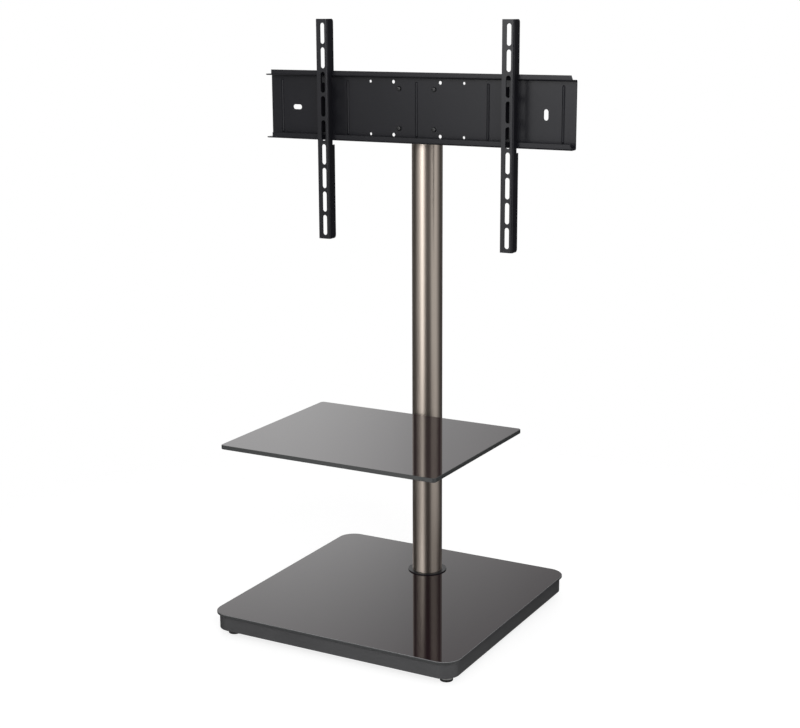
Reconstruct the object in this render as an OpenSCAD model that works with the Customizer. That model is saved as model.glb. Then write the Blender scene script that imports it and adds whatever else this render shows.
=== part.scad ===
// Floor stand for a flat screen: glass base on a steel plinth, one round pole,
// a glass shelf clamped to the pole and a folded rail that carries two hooked arms.
// X runs to the right, Y to the back, Z up. The origin is on the floor, under the middle of the base.

/* [Base] */
// Width of the base glass, left to right
base_w = 520; // [440:5:640]
// Depth of the base glass, front to back
base_d = 520; // [440:5:640]
// Corner radius of the base glass, seen from above
base_corner_r = 35; // [20:1:60]
// Thickness of the base glass
base_glass_t = 5; // [4:0.5:10]
// Width of the flats ground along the edges of both panes
glass_edge = 0.8; // [0.4:0.1:1.6]
// How far the plinth stands in from the edge of the glass
plinth_inset = 5; // [2:0.5:15]
// Height of the plinth's side walls
plinth_h = 29; // [29:1:50]
// Sheet thickness of the plinth
plinth_t = 2; // [1.5:0.25:3]
// Thickness of the steel plate under the plinth's top
plate_t = 5; // [3:0.5:6]
// Clearance between that plate and the plinth's walls
plate_margin = 20; // [10:1:60]

/* [Feet] */
// Height of the plinth's lower edge above the floor
foot_h = 15; // [14:0.5:25]
// Distance of each foot's axis from the side edge of the glass
foot_inset_x = 31; // [28:1:45]
// Distance of each foot's axis from the front or back edge of the glass
foot_inset_y = 37; // [28:1:45]
// Diameter of a foot
foot_d = 24; // [18:1:30]
// Thickness of a foot's steel disc
foot_disc_t = 6; // [4:0.5:8]
// Thickness of a foot's rubber pad
pad_t = 4; // [3:0.5:5]
// Thread diameter of a foot's stud
stud_d = 8; // [6:1:10]
// Room between a foot's stud and the plate above it
stud_room = 6; // [5:0.5:8]
// Height of the threaded bush that a foot screws into
bush_h = 10; // [8:1:12]
// Wall of the threaded bush
bush_wall = 4; // [2.5:0.5:6]
// Steel left round the bush on its corner gusset
gusset_margin = 6; // [3:0.5:20]
// Thickness of the corner gusset
gusset_t = 3; // [2:0.5:4]

/* [Pole] */
// Outside diameter of the pole
pole_d = 60; // [50:1:76]
// Wall of the pole
pole_wall = 2.5; // [1.5:0.25:4]
// Length of the pole above its collar
pole_l = 869; // [800:1:900]
// Distance from the pole's axis to the back edge of the base glass
pole_back = 120; // [100:5:200]
// Diameter of the thin collar under the pole
collar_d = 78; // [78:1:110]
// Thickness of the collar
collar_t = 2; // [1.5:0.25:4]
// Height of the threaded plugs inside the pole's ends
plug_h = 26; // [24:1:50]
// Thickness of the upper plug's flange
flange_t = 2; // [1.5:0.25:4]
// Circle of the bolts that hold the pole down
pole_bolt_circle = 32; // [26:1:34]
// Number of bolts that hold the pole down
pole_bolt_count = 3; // [3:1:4]

/* [Rail] */
// Length of the rail
rail_l = 650; // [580:5:800]
// Height of the rail's web above and below its rows of holes
row_margin = 12.5; // [11:0.5:25]
// Depth of the rail, from the back of its web to the front of its lips
rail_depth = 23.5; // [20:0.5:30]
// Rise of each lip above its flange
lip_rise = 8.5; // [6:0.5:12]
// Sheet thickness of the rail
rail_t = 2.5; // [2:0.25:3]
// Bend radius of the rail at the middle of the sheet
rail_bend_r = 2.5; // [2:0.25:4]
// How far the hole pattern lies above the middle of the web
pattern_rise = 1.5; // [0:0.5:3]
// How far the lips are cut back at the rail's left end
lip_trim = 12.5; // [0:0.5:30]
// Slope taken off the lips at the rail's right end
lip_slope = 3; // [0.5:0.5:6]
// Distance of the outer stamped beads from the rail's ends
bead_end = 25; // [16:1:60]
// Number of stamped beads
bead_count = 5; // [3:2:5]
// Width of a bead where it leaves the web
bead_w = 6; // [4:0.5:8]
// Rise of a bead in front of the web
bead_rise = 1.5; // [0.5:0.25:2]
// Distance of a bead's ends from the web's upper and lower edges
bead_margin = 9.5; // [8:0.5:30]
// Height between the rows of holes for the screen
hole_rows = 100; // [100:1:105]
// Spacing of the inner holes
inner_holes = 100; // [90:1:120]
// Diameter of the inner holes
inner_hole_d = 7; // [5:0.1:8]
// Spacing of the middle holes
middle_holes = 200; // [180:1:220]
// Spacing of the outer holes
outer_holes = 400; // [350:1:440]
// Diameter of the middle and outer holes
outer_hole_d = 5.5; // [4:0.1:6.5]
// Distance of each wall slot from its end of the rail
wall_slot_end = 59; // [45:1:90]
// Length of the left wall slot, which lies flat
left_slot_l = 20.5; // [16:0.5:28]
// Length of the right wall slot, which stands upright
right_slot_l = 20.5; // [16:0.5:28]
// Width of the wall slots
wall_slot_w = 9.5; // [8:0.5:12]
// Depth of the wall slots below the middle of the rail's holes
wall_slot_drop = 3; // [0:0.5:8]

/* [Head] */
// Steel beside the rail's screws on the bracket's plate
head_margin_x = 5.5; // [4:0.5:8]
// Steel above and below the rail's screws on that plate
head_margin_z = 8.5; // [4:0.5:14]
// Depth of the bracket's lower face below the middle of the rail's holes
head_drop = 64; // [62:1:68]
// Thickness of the bracket's steel
head_t = 5; // [4:0.5:5.5]
// Bend radius of the bracket at the middle of the sheet
head_bend_r = 7; // [5:0.5:9]
// Distance between the front of the pole and the back of the rail
head_gap = 11.5; // [10:0.5:30]
// Room between the bolts' heads and the ribs
leg_room = 1.5; // [1:0.5:4]
// Thickness of the bracket's two ribs
head_rib_t = 4; // [3:0.5:4.5]
// Rise of the ribs above the middle of the rail's holes
head_rib_rise = 30; // [10:1:40]
// Reach of the ribs behind the pole's axis
head_rib_reach = 4; // [1:0.5:5]
// Circle of the bolts in the top of the pole
head_bolt_circle = 20; // [18:1:22]
// Number of those bolts
head_bolt_count = 3; // [3:1:4]
// Depth that those bolts reach into the pole
head_bolt_grip = 16; // [12:1:20]
// Spacing of the screws that hold the rail, both ways
rail_screws_pitch = 75; // [70:1:76]

/* [Arms] */
// Length of an arm
arm_l = 422; // [360:1:480]
// Width of an arm's slotted face
arm_w = 24.5; // [22:0.5:34]
// Sheet thickness of an arm
arm_t = 2.5; // [2:0.25:3]
// Bend radius of an arm at the middle of the sheet
arm_bend_r = 2.25; // [1.75:0.25:3]
// Distance from the front of the rail's lips to the front of an arm
arm_standoff = 15.5; // [8:0.5:30]
// Height of an arm's top above the rail's hole pattern
arm_rise = 167; // [150:1:200]
// Place of the left arm's middle, from the middle of the rail
arm_left_x = -185.5; // [-195:0.5:-175]
// Place of the right arm's middle, from the middle of the rail
arm_right_x = 206; // [175:0.5:210]
// Number of slots in an arm
slot_count = 9; // [3:1:9]
// Metal left between two slots
slot_bridge = 6.5; // [4:0.5:15]
// Metal left at each end of an arm
slot_end = 7.25; // [5:0.25:20]
// Width of a slot
slot_w = 9.5; // [6:0.5:12]
// How far the slots stand off the middle of the face, toward the flange
slot_shift = 1; // [0:0.5:2]
// Radius of the flange's rear corners
arm_corner_r = 6; // [2:0.5:8]
// Room that the flange leaves below the rail
hook_room = 8.3; // [6:0.1:12]
// Thickness of the hook's tongue behind the rail's lip
hook_t = 4.7; // [3:0.1:8]
// Gap between the hook's tip and the rail's upper flange
hook_tip_gap = 2; // [1:0.5:4]
// Clearance over the rail's lips of the inner leg that keeps each arm square inside the rail
inner_leg_gap = 4; // [2:0.5:10]
// Room between the inner leg and the rail's web
inner_leg_room = 7.5; // [6:0.5:12]

/* [Shelf] */
// Width of the shelf glass
shelf_w = 448; // [380:1:520]
// Depth of the shelf glass
shelf_d = 362; // [300:1:362]
// Thickness of the shelf glass
shelf_t = 8; // [6:0.5:10]
// Corner radius of the shelf glass
shelf_corner_r = 7; // [4:0.5:30]
// Height of the shelf's upper face above the base glass
shelf_height = 337; // [200:1:450]
// Gap between the pole and the shelf's back edge
shelf_gap = 8; // [3:0.5:20]
// Thickness of the bracket's arms and plate
bracket_t = 5; // [4:0.5:6]
// Steel round the discs on the bracket's plate
bracket_margin = 10; // [5:1:30]
// Distance between the rear discs and the clamp
bracket_back = 23; // [12:1:50]
// Depth of the clamp's top below the bracket's plate
clamp_drop = 10; // [8:1:20]
// Height of the clamp round the pole
clamp_h = 50; // [44:1:70]
// Steel beside the heads of the clamp's screws
clamp_margin = 5; // [2:0.5:12]
// Thickness of the rear half's ears
ear_t = 12; // [8:0.5:16]
// Thickness of the clamp in front of and behind the pole
clamp_wall = 7; // [5:0.5:10]
// Gap between the clamp's halves
clamp_gap = 3; // [2:0.5:6]
// Distance between the two ribs under the plate
rib_pitch = 64; // [50:1:80]
// Reach of the ribs in front of the clamp
rib_reach = 150; // [80:1:160]
// Spacing of the discs under the glass, left to right
disc_pitch_x = 120; // [100:1:130]
// Spacing of the discs under the glass, front to back
disc_pitch_y = 150; // [120:1:160]
// Diameter of a disc bonded to the glass
disc_d = 30; // [24:1:36]
// Thickness of a disc bonded to the glass
disc_t = 5; // [4:0.5:8]

/* [Fasteners] */
// Diameter of the bolts in the pole's two ends
bolt_d = 8; // [6:1:8]
// Diameter of those bolts' heads
bolt_head_d = 13; // [12:0.5:14]
// Height of those bolts' heads
bolt_head_h = 8; // [5:0.5:8]
// Thread length that a pole bolt has in its plug
bolt_grip = 18; // [12:1:20]
// Diameter of a washer
washer_d = 16; // [15:0.5:18]
// Thickness of a washer
washer_t = 1.6; // [1:0.1:2.5]
// Diameter of the holes for the bolts in the base glass
glass_hole_d = 12; // [10:0.5:14]
// Diameter of the screws that hold the rail
rail_screw_d = 5; // [4:0.5:6]
// Diameter of those screws' heads
rail_screw_head_d = 9.5; // [8:0.5:11]
// Height of those screws' heads
rail_screw_head_h = 3; // [2:0.25:4]
// Diameter of the screws of the shelf and its clamp
screw_d = 6; // [5:0.5:6]
// Diameter of those screws' heads
screw_head_d = 10; // [9:0.5:11]
// Height of those screws' heads
screw_head_h = 4; // [3:0.5:6]
// Length of the clamp's screws
clamp_screw_l = 32; // [26:1:38]
// Width across the flats of the nuts behind the rail's bracket
nut_w = 8; // [7:0.5:9]
// Height of those nuts
nut_h = 4; // [3:0.5:6]
// Key size of the hexagon sockets in the bolts
bolt_socket_w = 6; // [4:0.5:7]
// Key size of the hexagon sockets in the screws
screw_socket_w = 5; // [3:0.5:5]
// Depth of the hexagon sockets
socket_depth = 2; // [1:0.5:2.5]

/* [Fits] */
// Gap that lets one part slide on another
slide_gap = 0.3; // [0.2:0.05:0.5]
// Radial clearance of a shaft or thread in its bore
fit = 0.05; // [0.02:0.01:0.09]
// Extra radius of a clearance hole
hole_ease = 0.3; // [0.2:0.05:0.6]

/* [Hidden] */
$fn = 64;
// Overrun of every cut
over = 1;
// Sides of the hexagons
hex_sides = 6;
// Steps in a quarter turn of bent sheet
bend_steps = 8;

// Heights
plinth_z = foot_h;
glass_z = plinth_z + plinth_h;
glass_top = glass_z + base_glass_t;
collar_top = glass_top + collar_t;
plate_z = glass_z - plinth_t - plate_t;
bush_z = plinth_z + gusset_t;
disc_top_z = pad_t + foot_disc_t;
pole_top = collar_top + pole_l;
leg_z = pole_top + flange_t;
head_z = leg_z + head_drop;
shelf_top = glass_top + shelf_height;
shelf_z = shelf_top - shelf_t;
bracket_top = shelf_z - disc_t;
bracket_z = bracket_top - bracket_t;
clamp_top = bracket_z - clamp_drop;
clamp_z = clamp_top - clamp_h;

// Places from front to back
pole_r = pole_d / 2;
pole_y = base_d / 2 - pole_back;
web_back = pole_y - pole_r - head_gap;
web_front = web_back - rail_t;
lip_front = web_back - rail_depth;
lip_back = lip_front + rail_t;
arm_front = lip_front - arm_standoff;
arm_back = lip_back + slide_gap + hook_t;
shelf_back = pole_y - pole_r - shelf_gap;
shelf_front = shelf_back - shelf_d;
head_back = web_back + head_t;
ear_y = pole_y + clamp_gap / 2;
ear_back = ear_y + ear_t;
clamp_front = pole_y - pole_r - clamp_wall;
bracket_front = clamp_front - bracket_back - disc_pitch_y - disc_d - bracket_margin;

// Heights on the rail
rail_h = hole_rows + 2 * row_margin;
web_mid_z = head_z - pattern_rise;
web_top_z = web_mid_z + rail_h / 2;
web_bottom_z = web_mid_z - rail_h / 2;
lip_top_z = web_top_z + lip_rise;
low_lip_top_z = web_bottom_z + rail_t + lip_rise;

// Feet
foot_x = base_w / 2 - foot_inset_x;
foot_y = base_d / 2 - foot_inset_y;
stud_top_z = plate_z - stud_room;
bush_r = stud_d / 2 + bush_wall;
gusset_leg = foot_inset_x + foot_inset_y - 2 * plinth_inset + sqrt(2) * (bush_r + gusset_margin);
plinth_w = base_w - 2 * plinth_inset;
plinth_d = base_d - 2 * plinth_inset;
plinth_corner_r = base_corner_r - plinth_inset;

// Widths and lengths along the rail and the arms
bead_pitch = (rail_l - 2 * bead_end) / (bead_count - 1);
bead_l = rail_h - 2 * bead_margin;
wall_slot_x = rail_l / 2 - wall_slot_end;
wall_slot_z = head_z - wall_slot_drop;
head_w = rail_screws_pitch + 2 * head_margin_x;
head_rise = rail_screws_pitch / 2 + head_margin_z;
leg_w = head_bolt_circle + bolt_head_d + 2 * leg_room + 2 * head_rib_t;
slot_pitch = (arm_l - 2 * slot_end + slot_bridge) / slot_count;
slot_l = slot_pitch - slot_bridge;

// Screw places
clamp_screw_x = pole_r + clamp_wall + screw_head_d / 2;
clamp_screw_rise = clamp_h / 4;
clamp_w = 2 * clamp_screw_x + screw_head_d + 2 * clamp_margin;
bracket_w = disc_pitch_x + disc_d + 2 * bracket_margin;
disc_front_y = bracket_front + bracket_margin + disc_d / 2;

// Plate with rounded corners, centred on the Z axis, its lower face at zero
module slab(w, d, h, r) {
    linear_extrude(height = h) {
        square([w - 2 * r, d], center = true);
        square([w, d - 2 * r], center = true);
        for (x = [-1, 1], y = [-1, 1])
            translate([x * (w / 2 - r), y * (d / 2 - r)]) circle(r = r);
    }
}

// Glass pane with rounded corners and small flats ground along its edges
module pane(w, d, h, r, a) {
    along_x(r - w / 2, w - 2 * r) polygon(ground_edges(d / 2, h, a));
    rotate([90, 0, 0]) linear_extrude(height = d - 2 * r, center = true) polygon(ground_edges(w / 2, h, a));
    for (x = [-1, 1], y = [-1, 1])
        translate([x * (w / 2 - r), y * (d / 2 - r), 0])
            rotate_extrude() polygon([[0, 0], [r - a, 0], [r, a], [r, h - a], [r - a, h], [0, h]]);
}
function ground_edges(half, h, a) =
    [[a - half, 0], [half - a, 0], [half, a], [half, h - a], [half - a, h], [a - half, h], [-half, h - a],
        [-half, a]];

// Rod along Y, from the front point y0 to the back point y1
module rod_y(x, z, y0, y1, d) {
    translate([x, y1, z]) rotate([90, 0, 0]) cylinder(h = y1 - y0, d = d);
}

// Rod along Z, from z0 to z1
module rod_z(x, y, z0, z1, d) {
    translate([x, y, z0]) cylinder(h = z1 - z0, d = d);
}

// Hexagonal prism along Z, measured across its flats
module hexagon(w, h) {
    cylinder(h = h, d = w / cos(180 / hex_sides), $fn = hex_sides);
}

// Cut for a slot through a sheet, running along X or along Z
module slot_cut(x, z, y0, y1, l, w, upright) {
    run = (l - w) / 2;
    dx = upright ? 0 : run;
    dz = upright ? run : 0;
    for (s = [-1, 1])
        rod_y(x + s * dx, z + s * dz, y0, y1, w);
    translate([x - dx - (upright ? w / 2 : 0), y0, z - dz - (upright ? 0 : w / 2)])
        cube([upright ? w : 2 * run, y1 - y0, upright ? 2 * run : w]);
}

// Places on a circle of bolts round the pole's axis, the first one at the back
module on_circle(d, count) {
    for (i = [0 : count - 1])
        translate([0, pole_y, 0]) rotate([0, 0, 90 + i * 360 / count])
            translate([d / 2, 0, 0]) children();
}

module at_pole_bolts() {
    on_circle(pole_bolt_circle, pole_bolt_count) children();
}

module at_head_bolts() {
    on_circle(head_bolt_circle, head_bolt_count) children();
}

// Outline of folded sheet: the middle line turns by right angles at each inner point
function left_of(d) = [-d[1], d[0]];
function heading(a, b) = (b - a) / norm(b - a);
function turn(a, b) = a[0] * b[1] - a[1] * b[0];
function bend(p, d0, d1, r, t, side) =
    let (s = turn(d0, d1), c = p - d0 * r + left_of(d0) * s * r, q = r - side * s * t / 2)
    [for (k = [0 : bend_steps])
        c - left_of(d0) * s * q * cos(90 * k / bend_steps) + d0 * q * sin(90 * k / bend_steps)];
function edge(pts, r, t, side) =
    let (last = len(pts) - 1, d0 = heading(pts[0], pts[1]), d1 = heading(pts[last - 1], pts[last]))
    concat(
        [pts[0] + left_of(d0) * side * t / 2],
        [for (i = [1 : last - 1])
            for (p = bend(pts[i], heading(pts[i - 1], pts[i]), heading(pts[i], pts[i + 1]), r, t, side)) p],
        [pts[last] + left_of(d1) * side * t / 2]
    );
function reversed(list) = [for (i = [len(list) - 1 : -1 : 0]) list[i]];
module folded_sheet(pts, r, t) {
    polygon(concat(edge(pts, r, t, 1), reversed(edge(pts, r, t, -1))));
}

// Lays a profile drawn in Y and Z along X, from x0
module along_x(x0, l) {
    translate([x0, 0, 0]) rotate([90, 0, 90]) linear_extrude(height = l) children();
}

// Base
module base_glass() {
    color([0.16, 0.16, 0.17]) difference() {
        translate([0, 0, glass_z]) pane(base_w, base_d, base_glass_t, base_corner_r, glass_edge);
        at_pole_bolts() rod_z(0, 0, glass_z - over, glass_top + over, glass_hole_d);
    }
}

module base_plinth() {
    inner_w = plinth_w - 2 * plinth_t;
    inner_d = plinth_d - 2 * plinth_t;
    inner_r = plinth_corner_r - plinth_t;
    color([0.27, 0.27, 0.28]) {
        difference() {
            translate([0, 0, plinth_z]) slab(plinth_w, plinth_d, plinth_h, plinth_corner_r);
            translate([0, 0, plinth_z - over]) slab(inner_w, inner_d, plinth_h - plinth_t + over, inner_r);
            at_pole_bolts() rod_z(0, 0, plate_z, glass_z + over, bolt_d + 2 * hole_ease);
        }
        difference() {
            intersection() {
                translate([0, 0, plinth_z])
                    slab(inner_w + plinth_t, inner_d + plinth_t, gusset_t, inner_r + plinth_t / 2);
                for (x = [-1, 1], y = [-1, 1])
                    translate([x * plinth_w / 2, y * plinth_d / 2, plinth_z - over])
                        linear_extrude(height = gusset_t + 2 * over)
                            polygon([[0, 0], [-x * gusset_leg, 0], [0, -y * gusset_leg]]);
            }
            for (x = [-1, 1], y = [-1, 1])
                rod_z(x * foot_x, y * foot_y, plinth_z - over, bush_z + over, stud_d + 2 * hole_ease);
        }
    }
}

module base_plate() {
    w = plinth_w - 2 * plinth_t - 2 * plate_margin;
    d = plinth_d - 2 * plinth_t - 2 * plate_margin;
    color([0.2, 0.2, 0.2]) difference() {
        translate([0, 0, plate_z]) slab(w, d, plate_t, plate_margin / 2);
        at_pole_bolts() rod_z(0, 0, plate_z - over, glass_z, bolt_d + 2 * hole_ease);
    }
}

module foot_bushes() {
    color([0.7, 0.7, 0.68]) for (x = [-1, 1], y = [-1, 1])
        difference() {
            rod_z(x * foot_x, y * foot_y, bush_z, bush_z + bush_h, 2 * bush_r);
            rod_z(x * foot_x, y * foot_y, bush_z - over, bush_z + bush_h + over, stud_d + 2 * fit);
        }
}

// Levelling feet
module foot(x, y) {
    color([0.6, 0.6, 0.6]) {
        rod_z(x, y, pad_t, disc_top_z, foot_d);
        rod_z(x, y, disc_top_z - over, stud_top_z, stud_d);
    }
}

module pad(x, y) {
    lip = pad_t / 4;
    color([0.08, 0.08, 0.08]) translate([x, y, 0]) {
        cylinder(h = lip, d1 = foot_d - 2 * lip, d2 = foot_d);
        translate([0, 0, lip]) cylinder(h = pad_t - lip, d = foot_d);
    }
}

module foot_front_left() { foot(-foot_x, -foot_y); }
module foot_front_right() { foot(foot_x, -foot_y); }
module foot_back_left() { foot(-foot_x, foot_y); }
module foot_back_right() { foot(foot_x, foot_y); }
module pad_front_left() { pad(-foot_x, -foot_y); }
module pad_front_right() { pad(foot_x, -foot_y); }
module pad_back_left() { pad(-foot_x, foot_y); }
module pad_back_right() { pad(foot_x, foot_y); }

// Pole and what holds it down
module pole_collar() {
    chamfer = collar_t / 4;
    color([0.1, 0.1, 0.1]) difference() {
        translate([0, pole_y, glass_top]) {
            cylinder(h = collar_t - chamfer, d = collar_d);
            translate([0, 0, collar_t - chamfer])
                cylinder(h = chamfer, d1 = collar_d, d2 = collar_d - 2 * chamfer);
        }
        at_pole_bolts() rod_z(0, 0, glass_top - over, collar_top + over, bolt_d + 2 * hole_ease);
    }
}

module pole_washers() {
    color([0.72, 0.72, 0.7]) at_pole_bolts() difference() {
        rod_z(0, 0, plate_z - washer_t, plate_z, washer_d);
        rod_z(0, 0, plate_z - washer_t - over, plate_z + over, bolt_d + 2 * hole_ease);
    }
}

module pole_bolts() {
    head_z0 = plate_z - washer_t - bolt_head_h;
    color([0.25, 0.25, 0.25]) at_pole_bolts() difference() {
        union() {
            rod_z(0, 0, head_z0, head_z0 + bolt_head_h, bolt_head_d);
            rod_z(0, 0, head_z0 + bolt_head_h - over, collar_top + bolt_grip, bolt_d);
        }
        translate([0, 0, head_z0 - over]) hexagon(bolt_socket_w, socket_depth + over);
    }
}

module pole_foot() {
    color([0.5, 0.5, 0.5]) difference() {
        rod_z(0, pole_y, collar_top, collar_top + plug_h, pole_d - 2 * pole_wall - 2 * fit);
        at_pole_bolts() rod_z(0, 0, collar_top - over, collar_top + bolt_grip + over, bolt_d + 2 * fit);
    }
}

module pole_tube() {
    color([0.42, 0.39, 0.37]) difference() {
        rod_z(0, pole_y, collar_top, pole_top, pole_d);
        rod_z(0, pole_y, collar_top - over, pole_top + over, pole_d - 2 * pole_wall);
    }
}

module pole_head() {
    color([0.5, 0.5, 0.5]) difference() {
        union() {
            rod_z(0, pole_y, pole_top - plug_h, leg_z, pole_d - 2 * pole_wall - 2 * fit);
            rod_z(0, pole_y, pole_top, leg_z, pole_d);
        }
        at_head_bolts() rod_z(0, 0, pole_top - head_bolt_grip - over, leg_z + over, bolt_d + 2 * fit);
    }
}

// Head: the bracket that joins the rail to the pole
module head_bracket() {
    mid = head_t / 2;
    leg_top = leg_z + head_t;
    path = [
        [web_back + mid, head_z + head_rise],
        [web_back + mid, leg_z + mid],
        [pole_y + leg_w, leg_z + mid]
    ];
    color([0.13, 0.13, 0.14]) difference() {
        union() {
            intersection() {
                along_x(-leg_w / 2, leg_w) folded_sheet(path, head_bend_r, head_t);
                union() {
                    translate([-leg_w / 2, web_back - over, leg_z - over])
                        cube([leg_w, pole_y - web_back + over, head_rise + head_drop + 2 * over]);
                    rod_z(0, pole_y, leg_z - over, leg_top + over, leg_w);
                }
            }
            translate([-head_w / 2, web_back, head_z - head_rise]) cube([head_w, head_t, 2 * head_rise]);
            for (s = [-1, 1])
                along_x(s * (leg_w - head_rib_t) / 2 - head_rib_t / 2, head_rib_t)
                    polygon([
                        [web_back + mid, head_z + head_rib_rise],
                        [head_back, head_z + head_rib_rise],
                        [pole_y + head_rib_reach, leg_top],
                        [pole_y + head_rib_reach, leg_z + mid],
                        [web_back + mid + head_bend_r, leg_z + mid],
                        [web_back + mid, leg_z + mid + head_bend_r]
                    ]);
        }
        at_head_bolts() rod_z(0, 0, leg_z - over, leg_top + over, bolt_d + 2 * hole_ease);
        for (x = [-1, 1], z = [-1, 1])
            rod_y(x * rail_screws_pitch / 2, head_z + z * rail_screws_pitch / 2,
                web_back - over, head_back + over, rail_screw_d + 2 * hole_ease);
    }
}

module head_bolts() {
    seat = leg_z + head_t;
    color([0.25, 0.25, 0.25]) at_head_bolts() difference() {
        union() {
            rod_z(0, 0, pole_top - head_bolt_grip, seat + over, bolt_d);
            rod_z(0, 0, seat, seat + bolt_head_h, bolt_head_d);
        }
        translate([0, 0, seat + bolt_head_h - socket_depth]) hexagon(bolt_socket_w, socket_depth + over);
    }
}

// Rail
module bead(x, y, r) {
    run = bead_l / 2 - r;
    translate([x, y, web_mid_z]) {
        translate([0, 0, -run]) cylinder(h = 2 * run, r = r);
        for (s = [-1, 1])
            translate([0, 0, s * run]) sphere(r = r);
    }
}

module web_hole(x, rise, d) {
    rod_y(x, head_z + rise, web_front - over, web_back + over, d);
}

module at_beads() {
    for (i = [0 : bead_count - 1])
        translate([(i - (bead_count - 1) / 2) * bead_pitch, 0, 0]) children();
}

module rail() {
    mid = rail_t / 2;
    bead_r = (bead_w * bead_w / 4 + bead_rise * bead_rise) / (2 * bead_rise);
    groove_r = bead_r - mid;
    path = [
        [lip_front + mid, lip_top_z],
        [lip_front + mid, web_top_z - mid],
        [web_back - mid, web_top_z - mid],
        [web_back - mid, web_bottom_z + mid],
        [lip_front + mid, web_bottom_z + mid],
        [lip_front + mid, low_lip_top_z]
    ];
    color([0.19, 0.19, 0.2]) difference() {
        union() {
            along_x(-rail_l / 2, rail_l) folded_sheet(path, rail_bend_r, rail_t);
            intersection() {
                at_beads() bead(0, web_front + bead_r - bead_rise, bead_r);
                translate([-rail_l / 2, web_front - 2 * bead_rise, web_bottom_z])
                    cube([rail_l, 2 * bead_rise + mid, rail_h]);
            }
        }
        at_beads() bead(0, web_back + groove_r - bead_rise, groove_r);
        for (x = [-1, 1], z = [-1, 1]) {
            web_hole(x * inner_holes / 2, z * hole_rows / 2, inner_hole_d);
            web_hole(x * middle_holes / 2, z * hole_rows / 2, outer_hole_d);
            web_hole(x * outer_holes / 2, z * hole_rows / 2, outer_hole_d);
            web_hole(x * rail_screws_pitch / 2, z * rail_screws_pitch / 2, rail_screw_d + 2 * hole_ease);
        }
        slot_cut(-wall_slot_x, wall_slot_z, web_front - over, web_back + over, left_slot_l, wall_slot_w, false);
        slot_cut(wall_slot_x, wall_slot_z, web_front - over, web_back + over, right_slot_l, wall_slot_w, true);
        for (z = [web_top_z, web_bottom_z + rail_t])
            translate([-rail_l / 2 - over, lip_front - over, z])
                cube([lip_trim + over, rail_t + rail_bend_r + over, lip_rise + over]);
        for (z = [web_top_z, web_bottom_z + rail_t])
            translate([rail_l / 2, lip_back + over, z]) rotate([90, 0, 0])
                linear_extrude(height = rail_t + 2 * over)
                    polygon([[-lip_slope, lip_rise], [-lip_slope, lip_rise + over], [over, lip_rise + over],
                        [over, 0], [0, 0]]);
    }
}

module rail_screws() {
    color([0.3, 0.3, 0.3]) for (x = [-1, 1], z = [-1, 1])
        difference() {
            union() {
                rod_y(x * rail_screws_pitch / 2, head_z + z * rail_screws_pitch / 2,
                    web_front - rail_screw_head_h, web_front, rail_screw_head_d);
                rod_y(x * rail_screws_pitch / 2, head_z + z * rail_screws_pitch / 2,
                    web_front - over, head_back + nut_h + rail_screw_d / 5, rail_screw_d);
            }
            translate([x * rail_screws_pitch / 2, web_front - rail_screw_head_h - over,
                head_z + z * rail_screws_pitch / 2]) rotate([-90, 0, 0])
                hexagon(rail_screw_d / 2, rail_screw_head_h / 2 + over);
        }
}

module rail_nuts() {
    color([0.62, 0.62, 0.6]) for (x = [-1, 1], z = [-1, 1])
        difference() {
            translate([x * rail_screws_pitch / 2, head_back, head_z + z * rail_screws_pitch / 2])
                rotate([-90, 0, 0]) hexagon(nut_w, nut_h);
            rod_y(x * rail_screws_pitch / 2, head_z + z * rail_screws_pitch / 2,
                head_back - over, head_back + nut_h + over, rail_screw_d + 2 * fit);
        }
}

// Arms
module arm(x) {
    mid = arm_t / 2;
    top = head_z + arm_rise;
    left = x - arm_w / 2;
    right = x + arm_w / 2;
    path = [[left, arm_front + mid], [right - mid, arm_front + mid], [right - mid, arm_back]];
    cut_x = right - arm_t - over;
    cut_w = arm_t + 2 * over;
    room_z = web_bottom_z - hook_room;
    tip_z = web_top_z + hook_tip_gap;
    leg_low_z = low_lip_top_z + inner_leg_gap;
    leg_high_z = web_top_z - rail_t - lip_rise - inner_leg_gap;
    color([0.24, 0.24, 0.25]) difference() {
        union() {
            translate([0, 0, top - arm_l]) linear_extrude(height = arm_l)
                folded_sheet(path, arm_bend_r, arm_t);
            translate([left, arm_front, leg_low_z])
                cube([arm_t, web_front - inner_leg_room - arm_front, leg_high_z - leg_low_z]);
            translate([left, arm_front, web_bottom_z])
                cube([arm_t, lip_front - slide_gap - arm_front, lip_top_z - web_bottom_z]);
        }
        for (i = [0 : slot_count - 1])
            slot_cut(x + slot_shift, top - arm_l / 2 + (i - (slot_count - 1) / 2) * slot_pitch,
                arm_front - over, arm_front + arm_t + over, slot_l, slot_w, true);
        translate([cut_x, lip_front - slide_gap, room_z])
            cube([cut_w, arm_back - lip_front + slide_gap + over, tip_z - room_z]);
        translate([cut_x, lip_front - slide_gap, room_z])
            cube([cut_w, rail_t + 2 * slide_gap, lip_top_z + slide_gap - room_z]);
        for (s = [-1, 1])
            translate([cut_x, arm_back - arm_corner_r, top - arm_l / 2 + s * (arm_l / 2 - arm_corner_r)])
                difference() {
                    translate([0, 0, s > 0 ? 0 : -arm_corner_r - over])
                        cube([cut_w, arm_corner_r + over, arm_corner_r + over]);
                    translate([-over, 0, 0]) rotate([0, 90, 0])
                        cylinder(h = cut_w + 2 * over, r = arm_corner_r);
                }
    }
}

module arm_left() { arm(arm_left_x); }
module arm_right() { arm(arm_right_x); }

// Shelf
module shelf_glass() {
    color([0.45, 0.46, 0.47]) translate([0, shelf_back - shelf_d / 2, shelf_z])
        pane(shelf_w, shelf_d, shelf_t, shelf_corner_r, glass_edge);
}

module at_discs() {
    for (x = [-1, 1], i = [0, 1])
        translate([x * disc_pitch_x / 2, disc_front_y + i * disc_pitch_y, 0]) children();
}

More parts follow.
